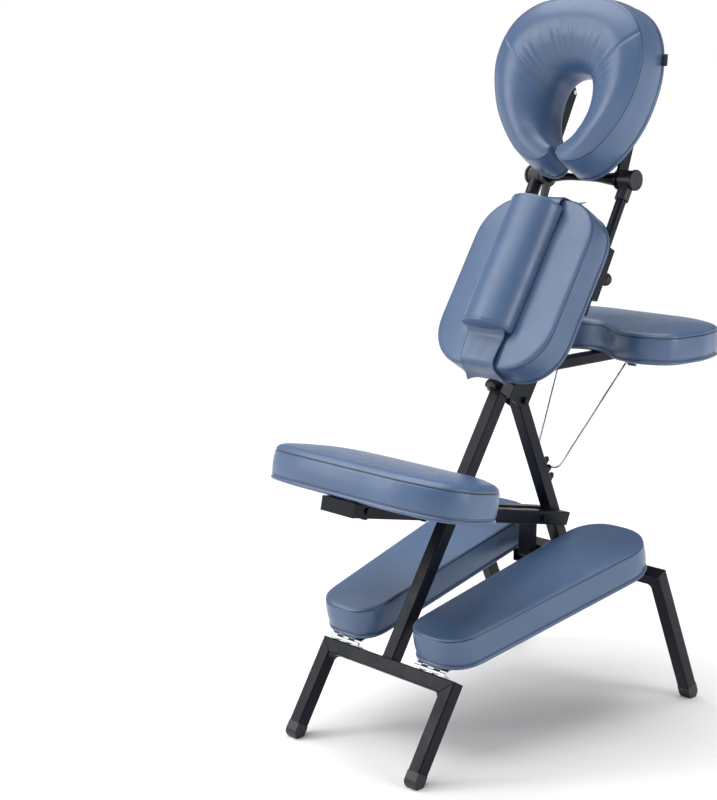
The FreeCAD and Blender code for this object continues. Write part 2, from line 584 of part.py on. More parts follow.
# ---- armrest ------------------------------------------------------------------------------------
ARM_TOP = 637.0
arm_bar = tube_y(0, ARM_TOP - 10.0, 24.6, 20.0, ARM_PIVOT[0] - 15, 770.0)
arm_bar = arm_bar.cut(rod(4.0 + PIN_CLEAR, (-30, ARM_PIVOT[0], ARM_PIVOT[1]), (30, ARM_PIVOT[0], ARM_PIVOT[1])))
add("armrest_bar", plain(arm_bar))
add("armrest_bar_plugs", group([plain(box(-10.6, 10.6, a, b, ARM_TOP - 18.3, ARM_TOP - 1.7))
                                for a, b in ((ARM_PIVOT[0] - 17, ARM_PIVOT[0] - 8), (762.0, 772.0))]))
ARM_OUT = [(-26, 648), (26, 648), (92, 594), (150, 582), (206, 612), (214, 700), (196, 780),
           (110, 822), (-110, 822), (-196, 780), (-214, 700), (-206, 612), (-150, 582), (-92, 594)]
ARM_RAD = [60, 60, 60, 60, 46, 60, 56, 120, 120, 56, 60, 46, 60, 60]
arm_board = [(x * 0.93, (y - 730) * 0.86 + 732) for x, y in ARM_OUT]
add("armrest_board", plain(slab(rounded(arm_board, [r * 0.85 for r in ARM_RAD]), ARM_TOP, ARM_TOP + 9.0)))
add("armrest_cushion", plain(cushion(rounded(ARM_OUT, ARM_RAD), ARM_TOP + 9.0, ARM_TOP + 68.0, 13.0)))
BAIL_Y, BAIL_Z, BAIL_X = 650.0, 626.0, 78.0
WIRE_R = 2.3
clips = []
for sx in (-1, 1):
    c = box(-9, 9, BAIL_Y - 12, BAIL_Y + 12, ARM_TOP - 2.0, ARM_TOP)
    c = c.fuse([box(-7, 7, BAIL_Y - 5.5, BAIL_Y + 5.5, BAIL_Z, ARM_TOP), rod(5.5, (-7, BAIL_Y, BAIL_Z), (7, BAIL_Y, BAIL_Z))])
    c = c.removeSplitter().cut(rod(WIRE_R + 0.08, (-12, BAIL_Y, BAIL_Z), (12, BAIL_Y, BAIL_Z)))
    c.translate(V(sx * (BAIL_X + 13.0), 0, 0))
    clips.append(plain(c))
add("prop_clips", group(clips))
screws = []
for y in (722.0, 752.0):
    screws.append(plain(rod(5.0, (0, y, ARM_TOP - 23), (0, y, ARM_TOP - 20))))
add("armrest_screws", group(screws))

# ---- wire prop -----------------------------------------------------------------------------------
wire_end = (REAR_Y - NOTCH_S * math.sin(lean_b) + NOTCH_O * math.cos(lean_b),
            NOTCH_S * math.cos(lean_b) + NOTCH_O * math.sin(lean_b))
LOW_X = 30.0
pts = [V(BAIL_X + 22, BAIL_Y, BAIL_Z), V(BAIL_X, BAIL_Y, BAIL_Z), V(LOW_X, wire_end[0], wire_end[1]),
       V(-LOW_X, wire_end[0], wire_end[1]), V(-BAIL_X, BAIL_Y, BAIL_Z), V(-BAIL_X - 22, BAIL_Y, BAIL_Z)]


def bent_wire(points, bends, radius):
    edges, last = [], points[0]
    for i in range(1, len(points) - 1):
        p = points[i]
        u = (points[i - 1] - p).normalize()
        w = (points[i + 1] - p).normalize()
        half_angle = math.acos(u.dot(w)) / 2
        reach = bends[i - 1] / math.tan(half_angle)
        mid = (u + w).normalize()
        centre = p + mid * (bends[i - 1] / math.sin(half_angle))
        edges.append(Part.makeLine(last, p + u * reach))
        edges.append(Part.Arc(p + u * reach, centre - mid * bends[i - 1], p + w * reach).toShape())
        last = p + w * reach
    edges.append(Part.makeLine(last, points[-1]))
    path_wire = Part.Wire(edges)
    circle = Part.Wire(Part.makeCircle(radius, points[0], points[1] - points[0]))
    return path_wire.makePipeShell([circle], True, True)


add("armrest_prop", plain(bent_wire(pts, [6.0, 14.0, 14.0, 6.0], WIRE_R)))

for name, shape in sorted(NODES.items()):
    shape.exportStep("parts/" + name + ".step")
    bb = shape.BoundBox
    print(name, len(shape.Solids), [round(v) for v in (bb.XMin, bb.XMax, bb.YMin, bb.YMax, bb.ZMin, bb.ZMax)])
box_all = Part.makeCompound(list(NODES.values())).BoundBox
bad = [n for n, s in NODES.items() if not s.isValid() or any(q.Volume <= 0 for q in s.Solids) or not s.Solids]
print(len(NODES), "nodes", "bad:", bad)
print("bbox", [round(v, 2) for v in (box_all.XMin, box_all.XMax, box_all.YMin, box_all.YMax, box_all.ZMin, box_all.ZMax)])
print("hinge axes", round(hinge_y + Y_SHIFT, 3), round(hinge_z, 3), "seat", round(pin_y + Y_SHIFT, 3), round(pin_z, 3))
pv = (PIVOT_S * math.sin(lean_a) + PIVOT_O * math.cos(lean_a), PIVOT_S * math.cos(lean_a) - PIVOT_O * math.sin(lean_a))
print("frame pivot", round(pv[0] + Y_SHIFT, 3), round(pv[1], 3), "link", round(link_top[0] + Y_SHIFT, 3),
      round(link_top[1], 3), "arm", ARM_PIVOT[0] + Y_SHIFT, ARM_PIVOT[1], "prop", BAIL_Y + Y_SHIFT, BAIL_Z)
rv = (REAR_Y - REAR_PIVOT_S * math.sin(lean_b) + half * math.cos(lean_b),
      REAR_PIVOT_S * math.cos(lean_b) + half * math.sin(lean_b))
print("strut bore", round(rv[0] + Y_SHIFT, 3), round(rv[1], 3), "hub", HUB[0] + Y_SHIFT, HUB[1])
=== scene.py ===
import bpy
import json
import math
import random
import numpy as np
from mathutils import Matrix, Vector


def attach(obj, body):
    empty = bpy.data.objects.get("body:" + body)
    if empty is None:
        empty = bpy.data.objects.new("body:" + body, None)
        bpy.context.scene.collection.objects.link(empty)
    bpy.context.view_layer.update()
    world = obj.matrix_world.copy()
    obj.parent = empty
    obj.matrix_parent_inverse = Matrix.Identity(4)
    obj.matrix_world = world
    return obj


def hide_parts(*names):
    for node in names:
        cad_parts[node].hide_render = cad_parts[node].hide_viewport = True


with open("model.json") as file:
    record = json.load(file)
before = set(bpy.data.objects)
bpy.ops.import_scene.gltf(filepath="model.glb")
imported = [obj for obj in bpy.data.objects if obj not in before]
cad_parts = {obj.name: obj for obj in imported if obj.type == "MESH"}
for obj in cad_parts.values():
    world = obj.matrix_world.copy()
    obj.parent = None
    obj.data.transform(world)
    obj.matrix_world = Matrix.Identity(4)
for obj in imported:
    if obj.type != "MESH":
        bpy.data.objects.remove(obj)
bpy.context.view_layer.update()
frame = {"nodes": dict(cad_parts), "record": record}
NODES = frame["nodes"]
MM = 0.001


# ---- placement frames, the same as the part's -----------------------------------------
def place(y, z, degrees):
    return Matrix.Translation((0, (y - 408.0) * MM, z * MM)) @ Matrix.Rotation(math.radians(degrees), 4, "X")


FRONT = place(0, 0, -31.8)
REAR = place(675.8, 0, 24.05)
BARS = place(0, 465, -12.0)
SHIN = place(103, 174, 12.2)
HEAD = place(602, 966, -17.0)
ARM = place(0, 637, 0)
OUTWARD = Matrix(((1, 0, 0, 0), (0, 0, -1, 0), (0, 1, 0, 0), (0, 0, 0, 1)))
CHEST = FRONT @ OUTWARD
FACE = HEAD @ OUTWARD
TUBE = 25.0


def to_row(points, matrix):
    """Points in mm in a placement frame, as metres in the row frame."""
    rot = np.array(matrix.to_3x3())
    return np.asarray(points, float) * MM @ rot.T + np.array(matrix.translation)


def add_mesh(name, verts, faces, material, body, dark=()):
    """Mesh object in row-frame metres; points that coincide are joined and empty faces dropped."""
    keys, order, index = {}, [], []
    for v in verts:
        key = tuple(int(round(c * 1e5)) for c in v)
        if key not in keys:
            keys[key] = len(order)
            order.append(tuple(float(c) for c in v))
        index.append(keys[key])
    clean, shade = [], []
    dark = set(dark)
    for number, face in enumerate(faces):
        loop = [index[i] for i in face]
        loop = [a for k, a in enumerate(loop) if a != loop[k - 1]]
        if len(set(loop)) == len(loop) and len(loop) > 2:
            clean.append(loop)
            shade.append(int(number in dark))
    mesh = bpy.data.meshes.new(name)
    mesh.from_pydata(order, [], clean)
    mesh.shade_smooth()
    # faces listed in dark get the darker vinyl as painted shade in the seam and lip folds
    if dark:
        mesh.materials.append(material)
        mesh.materials.append(PAINTED_SEAM_SHADE)
        mesh.polygons.foreach_set("material_index", shade)
    else:
        mesh.materials.append(material)
    obj = bpy.data.objects.new(name, mesh)
    bpy.context.scene.collection.objects.link(obj)
    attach(obj, body)
    return obj


def skins(rows, thick):
    """Closed thin sheet from a grid of points: two skins and a rim."""
    grid = np.array(rows, float)
    m, n = grid.shape[:2]
    du = np.gradient(grid, axis=1)
    dv = np.gradient(grid, axis=0)
    normal = np.cross(du, dv)
    normal /= np.linalg.norm(normal, axis=2)[:, :, None]
    offset = normal * thick / 2
    both = np.concatenate([(grid + offset).reshape(-1, 3), (grid - offset).reshape(-1, 3)])
    faces = []
    for i in range(m - 1):
        for j in range(n - 1):
            a = i * n + j
            faces.append((a, a + 1, a + n + 1, a + n))
            faces.append(tuple(m * n + k for k in (a, a + n, a + n + 1, a + 1)))
    rim = [j for j in range(n)] + [i * n + n - 1 for i in range(1, m)]
    rim += [(m - 1) * n + j for j in range(n - 2, -1, -1)] + [i * n for i in range(m - 2, 0, -1)]
    for k, a in enumerate(rim):
        b = rim[(k + 1) % len(rim)]
        faces.append((b, a, m * n + a, m * n + b))
    return both, faces


# ---- materials ----------------------------------------------------------------------------
def shader(name, color, roughness, metallic=0.0, **sockets):
    mat = bpy.data.materials.new(name)
    mat.use_nodes = True
    tree = mat.node_tree
    bsdf = tree.nodes["Principled BSDF"]
    bsdf.inputs["Base Color"].default_value = (*color, 1)
    bsdf.inputs["Roughness"].default_value = roughness
    bsdf.inputs["Metallic"].default_value = metallic
    for key, value in sockets.items():
        bsdf.inputs[key.replace("_", " ")].default_value = value
    coord = tree.nodes.new("ShaderNodeTexCoord")
    return mat, tree, bsdf, coord.outputs["Object"]


def noise(tree, coord, scale, detail=2.0, rough=0.5, stretch=None):
    if stretch:
        mapping = tree.nodes.new("ShaderNodeMapping")
        mapping.inputs["Scale"].default_value = stretch
        tree.links.new(coord, mapping.inputs["Vector"])
        coord = mapping.outputs["Vector"]
    node = tree.nodes.new("ShaderNodeTexNoise")
    node.inputs["Scale"].default_value = scale
    node.inputs["Detail"].default_value = detail
    node.inputs["Roughness"].default_value = rough
    tree.links.new(coord, node.inputs["Vector"])
    return node.outputs["Fac"]


def ramp(tree, value, low, high, start=0.0, end=1.0):
    """Value mapped to a blend between two colours or two grey levels."""
    node = tree.nodes.new("ShaderNodeValToRGB")
    for element, color, at in ((0, low, start), (1, high, end)):
        color = color if hasattr(color, "__len__") else (color, color, color)
        node.color_ramp.elements[element].color = (*color, 1)
        node.color_ramp.elements[element].position = at
    tree.links.new(value, node.inputs["Fac"])
    return node.outputs["Color"]


def bump(tree, bsdf, height, strength, distance):
    node = tree.nodes.new("ShaderNodeBump")
    node.inputs["Strength"].default_value = strength
    node.inputs["Distance"].default_value = distance
    tree.links.new(height, node.inputs["Height"])
    old = bsdf.inputs["Normal"].links
    if old:
        tree.links.new(old[0].from_socket, node.inputs["Normal"])
    tree.links.new(node.outputs["Normal"], bsdf.inputs["Normal"])


def vinyl(name, deep, light):
    mat, tree, bsdf, coord = shader(name, light, 0.38)
    bsdf.inputs["Specular IOR Level"].default_value = 0.55
    bsdf.inputs["Coat Weight"].default_value = 0.22
    bsdf.inputs["Coat Roughness"].default_value = 0.3
    tone = ramp(tree, noise(tree, coord, 7.0, 3.0), deep, light, 0.3, 0.7)
    tree.links.new(tone, bsdf.inputs["Base Color"])
    level = ramp(tree, noise(tree, coord, 60.0, 4.0), 0.34, 0.42, 0.35, 0.65)
    tree.links.new(level, bsdf.inputs["Roughness"])
    bump(tree, bsdf, noise(tree, coord, 16.0, 2.0), 0.25, 0.0016)
    grain = tree.nodes.new("ShaderNodeTexVoronoi")
    grain.feature = "DISTANCE_TO_EDGE"
    grain.inputs["Scale"].default_value = 900.0
    tree.links.new(coord, grain.inputs["Vector"])
    bump(tree, bsdf, ramp(tree, grain.outputs["Distance"], 0.0, 1.0, 0.0, 0.35), 0.10, 0.0002)
    return mat


VINYL = vinyl("slate_vinyl", (0.050, 0.096, 0.190), (0.068, 0.124, 0.236))
# darker copy of the vinyl: painted shade for the faces in the seam grooves and lip folds
PAINTED_SEAM_SHADE = vinyl("painted_seam_shade", (0.014, 0.026, 0.055), (0.022, 0.040, 0.080))


def scaled(color, factor):
    return tuple(c * factor for c in color)


def thread(name, color):
    mat, tree, bsdf, coord = shader(name, color, 0.7)
    bump(tree, bsdf, noise(tree, coord, 2600.0, 1.0), 0.5, 0.0002)
    tone = ramp(tree, noise(tree, coord, 300.0), scaled(color, 0.7), color)
    tree.links.new(tone, bsdf.inputs["Base Color"])
    return mat


THREAD_DARK = thread("navy_thread", (0.012, 0.026, 0.075))
THREAD_LIGHT = thread("blue_thread", (0.075, 0.135, 0.25))


def powder_coat(name, color, roughness):
    mat, tree, bsdf, coord = shader(name, color, roughness)
    bsdf.inputs["Specular IOR Level"].default_value = 0.2
    bump(tree, bsdf, noise(tree, coord, 1500.0, 2.0, 0.6), 0.12, 0.0002)
    bump(tree, bsdf, noise(tree, coord, 120.0, 2.0), 0.05, 0.0004)
    level = ramp(tree, noise(tree, coord, 30.0, 4.0), roughness - 0.05, roughness + 0.08, 0.3, 0.7)
    tree.links.new(level, bsdf.inputs["Roughness"])
    tone = ramp(tree, noise(tree, coord, 9.0, 3.0), scaled(color, 0.85), scaled(color, 1.2), 0.3, 0.7)
    tree.links.new(tone, bsdf.inputs["Base Color"])
    return mat


COAT = powder_coat("black_powder_coat", (0.0032, 0.0045, 0.0105), 0.34)
WELD = powder_coat("coated_weld", (0.0065, 0.0075, 0.012), 0.42)


def moulded(name, color, roughness, scale=700.0):
    mat, tree, bsdf, coord = shader(name, color, roughness)
    bump(tree, bsdf, noise(tree, coord, scale, 3.0, 0.6), 0.22, 0.0003)
    tone = ramp(tree, noise(tree, coord, 40.0, 3.0), scaled(color, 0.8), scaled(color, 1.25), 0.3, 0.7)
    tree.links.new(tone, bsdf.inputs["Base Color"])
    return mat


PLASTIC = moulded("black_moulded_plastic", (0.007, 0.0075, 0.010), 0.4)
RUBBER = moulded("black_rubber", (0.007, 0.0075, 0.010), 0.6, 400.0)


def metal(name, color, roughness, stretch, depth):
    mat, tree, bsdf, coord = shader(name, color, roughness, 1.0)
    lines = noise(tree, coord, 420.0, 3.0, 0.6, stretch)
    bump(tree, bsdf, lines, depth, 0.0001)
    tree.links.new(ramp(tree, noise(tree, coord, 90.0, 4.0), roughness * 0.7, roughness * 1.4, 0.3, 0.7),
                   bsdf.inputs["Roughness"])
    return mat


ZINC = metal("zinc_plate", (0.60, 0.61, 0.62), 0.30, (1, 6, 6), 0.25)
CHROME = metal("polished_chrome", (0.72, 0.73, 0.75), 0.07, (1, 1, 1), 0.02)


def backing(name):
    """Thin black non-woven cloth stapled over the plywood."""
    mat, tree, bsdf, coord = shader(name, (0.012, 0.012, 0.013), 0.9)
    fibres = noise(tree, coord, 900.0, 4.0, 0.7)
    bump(tree, bsdf, fibres, 0.6, 0.0004)
    tone = ramp(tree, fibres, (0.006, 0.006, 0.007), (0.022, 0.022, 0.024), 0.3, 0.7)
    tree.links.new(tone, bsdf.inputs["Base Color"])
    return mat


BACKING = backing("backing_cloth")
ABS = moulded("grey_black_abs", (0.009, 0.0095, 0.012), 0.38)

BY_SLOT = {"pad_vinyl": VINYL, "frame_steel": COAT, "board": BACKING, "black_plastic": PLASTIC,
           "zinc_steel": ZINC, "chrome": CHROME, "black_rubber": RUBBER}
COATED = ("pivot_bracket", "cradle_levers", "bracket_bolts", "seat_pivot_bolt", "link_pin", "seat_bolts",
          "post_sockets")
SLOTS = {s["node"]: s["material_slot"] for s in frame["record"]["subparts"]}
for name, obj in NODES.items():
    finish = BY_SLOT[SLOTS[name]]
    if name in COATED:
        finish = COAT
    if name == "cradle_platform":
        finish = ABS
    obj.data.materials.clear()
    obj.data.materials.append(finish)


# ---- outlines -------------------------------------------------------------------------------
def outline(points, radii, step=3.0, blur=9.0):
    """Closed smooth outline in mm: corners rounded, resampled evenly, curvature evened out."""
    count = len(points)
    pts = np.array(points, float)
    path = []
    for i in range(count):
        p = pts[i]
        u = pts[i - 1] - p
        w = pts[(i + 1) % count] - p
        lu, lw = np.linalg.norm(u), np.linalg.norm(w)
        u, w = u / lu, w / lw
        half = math.acos(max(-1, min(1, float(u @ w)))) / 2
        reach = min(radii[i] / math.tan(half), 0.5 * lu, 0.5 * lw)
        radius = reach * math.tan(half)
        mid = (u + w) / np.linalg.norm(u + w)
        centre = p + mid * radius / math.sin(half)
        a, b = p + u * reach - centre, p + w * reach - centre
        for t in np.linspace(0, 1, 24):
            v = a * (1 - t) + b * t
            path.append(centre + v / np.linalg.norm(v) * radius)
    return even(np.array(path), step, blur)


def even(path, step, blur):
    loop = np.vstack([path, path[:1]])
    along = np.concatenate([[0], np.cumsum(np.linalg.norm(np.diff(loop, axis=0), axis=1))])
    count = int(along[-1] / step)
    at = np.linspace(0, along[-1], count, endpoint=False)
    out = np.column_stack([np.interp(at, along, loop[:, k]) for k in range(loop.shape[1])])
    width = blur / step
    reach = int(3 * width) + 1
    kernel = np.exp(-0.5 * (np.arange(-reach, reach + 1) / width) ** 2)
    kernel /= kernel.sum()
    return np.column_stack([np.convolve(np.r_[c[-reach:], c, c[:reach]], kernel, "valid") for c in out.T])


def ripple(count, seed, waves, scale):
    """Smooth closed random line of that many samples, within about one scale."""
    rng = random.Random(seed)
    t = np.linspace(0, 2 * math.pi, count, endpoint=False)
    out = np.zeros(count)
    for k in waves:
        out += rng.uniform(-1, 1) * np.sin(k * t + rng.uniform(0, 6.28))
    return scale * out / max(1e-6, np.abs(out).max())


def bend_of(loop):
    """How strongly the outline turns at each sample, from 0 on the straights to 1 at the tightest corner."""
    a = np.roll(loop, 3, axis=0) - loop
    b = np.roll(loop, -3, axis=0) - loop
    a /= np.linalg.norm(a, axis=1)[:, None]
    b /= np.linalg.norm(b, axis=1)[:, None]
    turn = np.pi - np.arccos(np.clip((a * b).sum(axis=1), -1, 1))
    return turn / turn.max()


# ---- upholstered pads ---------------------------------------------------------------------
class Pad:
    """A board-backed pad: rolled lip, boxing wall, seam and a crowned top, built ring by ring."""

    # faces between these rings get the darker vinyl: painted shade in the lip fold and seam groove
    SHADED = (9, 10, 21, 22, 23)  # rings that lie in the folds of the lip and the seam

    def __init__(self, loop, spine, low, seam, shoulder, crown, radius, seed,
                 lip=7.0, bulge=1.6, wrinkle=0.6):
        self.loop, self.spine = loop, spine
        inward = spine - loop
        self.depth = np.linalg.norm(inward, axis=1)
        self.inward = inward / self.depth[:, None]
        self.low, self.seam, self.shoulder, self.crown, self.radius = low, seam, shoulder, crown, radius
        self.lip, self.bulge = lip, bulge
        count = len(loop)
        corner = bend_of(loop)
        self.pucker = (0.35 + corner) * ripple(count, seed, range(18, 64, 3), wrinkle)
        self.sway = ripple(count, seed + 1, range(2, 9), 0.9)

    def ring(self, inset, height, pucker=0.0):
        move = np.minimum(inset + pucker * self.pucker, self.depth)
        flat = self.loop + self.inward * move[:, None]
        return np.column_stack([flat, np.full(len(flat), 1.0) * height])

    def top(self, inset):
        """Height of the top panel at that inset from the seam, for each sample."""
        inset = np.minimum(inset, self.depth)
        t = np.clip(inset / self.radius, 0, 1)
        rise = (self.shoulder - self.seam) * np.sqrt(np.clip(1 - (1 - t) ** 2, 0, 1))
        s = np.clip(inset / np.minimum(self.depth, 130.0), 0, 1)
        return self.seam + rise + (self.crown - self.shoulder) * (1 - (1 - s) ** 2)

    def rings(self):
        low, lip, seam = self.low, self.lip, self.seam
        wall = seam - low - lip
        out = [self.ring(30.0, low + 7.5), self.ring(19.0, low + 7.0), self.ring(17.5, low + 1.2),
               self.ring(11.0, low), self.ring(3.4, low - 0.2), self.ring(0.9, low + 0.5),
               self.ring(-0.9, low + 2.0), self.ring(-1.3, low + 3.6), self.ring(-0.5, low + lip - 1.7, 0.2),
               self.ring(0.8, low + lip - 0.5, 0.4), self.ring(1.3, low + lip, 0.5),
               self.ring(1.0, low + lip + 0.7, 0.6), self.ring(0.4, low + lip + 2.2, 0.8)]
        for t in (0.14, 0.26, 0.4, 0.55, 0.7, 0.82):
            swell = self.bulge * math.sin(math.pi * t)
            row = self.ring(0.3 - swell, low + lip + wall * t, 0.7 * (1 - t) ** 2 + 0.5 * t ** 4)
            row[:, :2] -= self.inward * (self.sway * 0.5 * math.sin(math.pi * t))[:, None]
            out.append(row)
        out += [self.ring(-0.3, seam - 3.6, 0.6), self.ring(0.0, seam - 1.6, 0.5),
                self.ring(0.4, seam - 0.9, 0.4),
                self.ring(1.9, seam - 0.3, 0.4), self.ring(2.0, seam + 0.3, 0.4)]
        for inset in (0.55, 1.2, 2.4, 4.2, 6.5, 9.5, 13.0, 17.5, 23.0, 30.0):
            row = self.ring(inset, 0.0, 0.4 * math.exp(-inset / 7.0))
            height = self.top(np.full(len(row), max(inset - 0.3, 0.25)))
            row[:, 2] = height + 0.5 * self.pucker * math.exp(-inset / 6.0)
            out.append(row)
        for t in np.linspace(0.16, 1.0, 11):
            inset = 30.0 + (self.depth - 30.0) * t
            row = np.column_stack([self.loop + self.inward * inset[:, None], self.top(inset)])
            out.append(row)
        return out

    def build(self, name, matrix, body, hollow=None):
        rows = self.rings()
        count = len(self.loop)
        verts = np.vstack(rows)
        if hollow:
            verts[:, 2] -= hollow(verts) * (verts[:, 2] > self.seam + 0.5)
        faces, dark = [], []
        for r in range(len(rows) - 1):
            for i in range(count):
                j = (i + 1) % count
                # faces in the seam and lip folds: painted shade
                if r in self.SHADED:
                    dark.append(len(faces))
                faces.append((r * count + i, r * count + j, (r + 1) * count + j, (r + 1) * count + i))
        faces.append(tuple(reversed(range(count))))
        return add_mesh(name, to_row(verts, matrix), faces, VINYL, body, dark)


def stitches(name, path, normals, matrix, body, material,
             pitch=5.6, length=3.9, radius=0.62, sink=0.1, closed=True):
    """A row of short threads lying along a path on a surface."""
    path, normals = np.asarray(path, float), np.asarray(normals, float)
    loop = np.vstack([path, path[:1]]) if closed else path
    norm = np.vstack([normals, normals[:1]]) if closed else normals
    along = np.concatenate([[0], np.cumsum(np.linalg.norm(np.diff(loop, axis=0), axis=1))])
    total = int(along[-1] / pitch)
    verts, faces = [], []
    for k in range(total):
        mid = (k + 0.5) * along[-1] / total
        ends = [np.array([np.interp(mid + s * length / 2, along, loop[:, a]) for a in range(3)])
                for s in (-1, 1)]
        n = np.array([np.interp(mid, along, norm[:, a]) for a in range(3)])
        n /= np.linalg.norm(n)
        d = ends[1] - ends[0]
        d /= np.linalg.norm(d)
        side = np.cross(d, n)
        base = len(verts)
        for t, r, h in ((0, 0.45, -0.35), (0.22, 1.0, 0.0), (0.78, 1.0, 0.0), (1, 0.45, -0.35)):
            c = ends[0] * (1 - t) + ends[1] * t + n * (h * radius - sink)
            for q in range(6):
                a = math.pi * q / 3
                verts.append(c + (side * math.cos(a) + n * math.sin(a)) * radius * r)
        for r in range(3):
            for q in range(6):
                p = (q + 1) % 6
                faces.append((base + r * 6 + q, base + r * 6 + p, base + r * 6 + 6 + p, base + r * 6 + 6 + q))
        faces.append(tuple(base + q for q in reversed(range(6))))
        faces.append(tuple(base + 18 + q for q in range(6)))
    return add_mesh(name, to_row(verts, matrix), faces, material, body)


def dress(pad, name, matrix, body, top_row=True):
    """Lip stitching and the second row of stitches above the seam."""
    lip = pad.ring(0.25, pad.low + pad.lip + 2.6, 0.8)
    out = np.column_stack([-pad.inward, np.zeros(len(pad.loop))])
    made = [stitches(name + "_lip_stitches", lip, out, matrix, body, THREAD_DARK)]
    if top_row:
        inset = 3.4
        row = pad.ring(inset, 0.0, 0.3)
        row[:, 2] = pad.top(np.full(len(row), inset - 0.3))
        up = np.column_stack([-pad.inward * 0.8, np.full(len(row), 0.7)])
        made.append(stitches(name + "_seam_stitches", row, up, matrix, body, THREAD_LIGHT,
                             3.6, 2.7, 0.32, 0.02))
    return made


def segment_spine(loop, a, b):
    """For each outline sample, the nearest point of a short middle line."""
    a, b = np.array(a, float), np.array(b, float)
    d = b - a
    t = np.clip(((loop - a) @ d) / (d @ d), 0, 1)
    return a + t[:, None] * d


def side_seam(name, pad, index, matrix, body):
    """Upright join where the boxing strip meets its own end."""
    heights = np.linspace(pad.low + pad.lip + 1, pad.seam - 1.5, 12)
    base, normal = pad.loop[index], -pad.inward[index]
    tangent = np.array([-normal[1], normal[0]])
    verts, faces = [], []
    for k, h in enumerate(heights):
        t = (h - pad.low - pad.lip) / (pad.seam - pad.low - pad.lip)
        out = pad.bulge * math.sin(math.pi * t) - 0.3 + 0.12
        for s, lift in ((-1.1, -0.35), (-0.35, 0.25), (0.0, -0.25), (0.35, 0.25), (1.1, -0.35)):
            p = base + normal * (out + lift) + tangent * s
            verts.append((p[0], p[1], h))
        if k:
            for q in range(4):
                a = (k - 1) * 5 + q
                faces.append((a, a + 1, a + 6, a + 5))
    return add_mesh(name, to_row(verts, matrix), faces, VINYL, body)


# seat
SEAT = outline([(-205, 8), (-120, -6), (120, -6), (205, 8), (226, 60), (212, 150), (120, 208),
                (-120, 208), (-212, 150), (-226, 60)], [48, 90, 90, 48, 60, 60, 90, 90, 60, 60], 3.0, 14.0)
seat_pad = Pad(SEAT, segment_spine(SEAT, (-120, 104), (120, 104)), 1.0, 52.0, 61.5, 70.5, 15.0, 11)
seat = seat_pad.build("seat_pad", BARS, "seat")
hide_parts("seat_cushion")
dress(seat_pad, "seat", BARS, "seat")
side_seam("seat_side_seam", seat_pad, len(SEAT) // 2 + 30, BARS, "seat")

# shin pads
SHIN_OUT = [(44, 0), (172, 0), (236, 493), (60, 493)]
SHIN_RAD = [44, 56, 78, 62]
for side, sx, seed in (("right", 1, 21), ("left", -1, 31)):
    loop = outline([(sx * x, y) for x, y in SHIN_OUT], SHIN_RAD, 3.0, 9.0)
    if sx < 0:
        loop = loop[::-1]
    shin_pad = Pad(loop, segment_spine(loop, (sx * 111, 66), (sx * 146, 416)), 4.0, 57.0, 60.5, 64.5, 7.0, seed)
    body = "shin_pad_" + side
    pad_obj = shin_pad.build("shin_pad_" + side, SHIN, body)
    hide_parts("shin_cushion_" + side)
    dress(shin_pad, "shin_" + side, SHIN, body, False)
    inner = np.argmin(np.abs(loop[:, 0] * sx - 52) + np.abs(loop[:, 1] - 330))
    side_seam("shin_side_seam_" + side, shin_pad, int(inner), SHIN, body)

# armrest
ARM_OUT = [(-26, 648), (26, 648), (92, 594), (150, 582), (206, 612), (214, 700), (196, 780),
           (110, 822), (-110, 822), (-196, 780), (-214, 700), (-206, 612), (-150, 582), (-92, 594)]
ARM_RAD = [60, 60, 60, 60, 46, 60, 56, 120, 120, 56, 60, 46, 60, 60]
arm_loop = outline(ARM_OUT, ARM_RAD, 3.0, 11.0)
arm_pad = Pad(arm_loop, segment_spine(arm_loop, (-126, 706), (126, 706)), 1.5, 50.0, 58.0, 66.0, 12.0, 41)
armrest = arm_pad.build("armrest_pad", ARM, "armrest")
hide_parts("armrest_cushion")
dress(arm_pad, "armrest", ARM, "armrest")

# chest pad
chest_loop = outline([(-132, 722), (132, 722), (132, 1058), (-132, 1058)], [82, 82, 82, 82], 3.0, 10.0)
chest_pad = Pad(chest_loop, segment_spine(chest_loop, (0, 852), (0, 928)), 4.0, 62.0, 66.5, 74.5, 8.0, 51)


def bolster_dent(verts):
    """The bolster presses the chest pad in a little along the middle."""
    across = np.exp(-(np.clip(np.abs(verts[:, 0]) - 46, 0, None) / 14.0) ** 2)
    along = np.exp(-(np.clip(np.abs(verts[:, 1] - 913) - 122, 0, None) / 12.0) ** 2)
    return 1.5 * across * along


chest = chest_pad.build("chest_pad", CHEST, "chest", bolster_dent)
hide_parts("chest_cushion")
dress(chest_pad, "chest", CHEST, "chest")


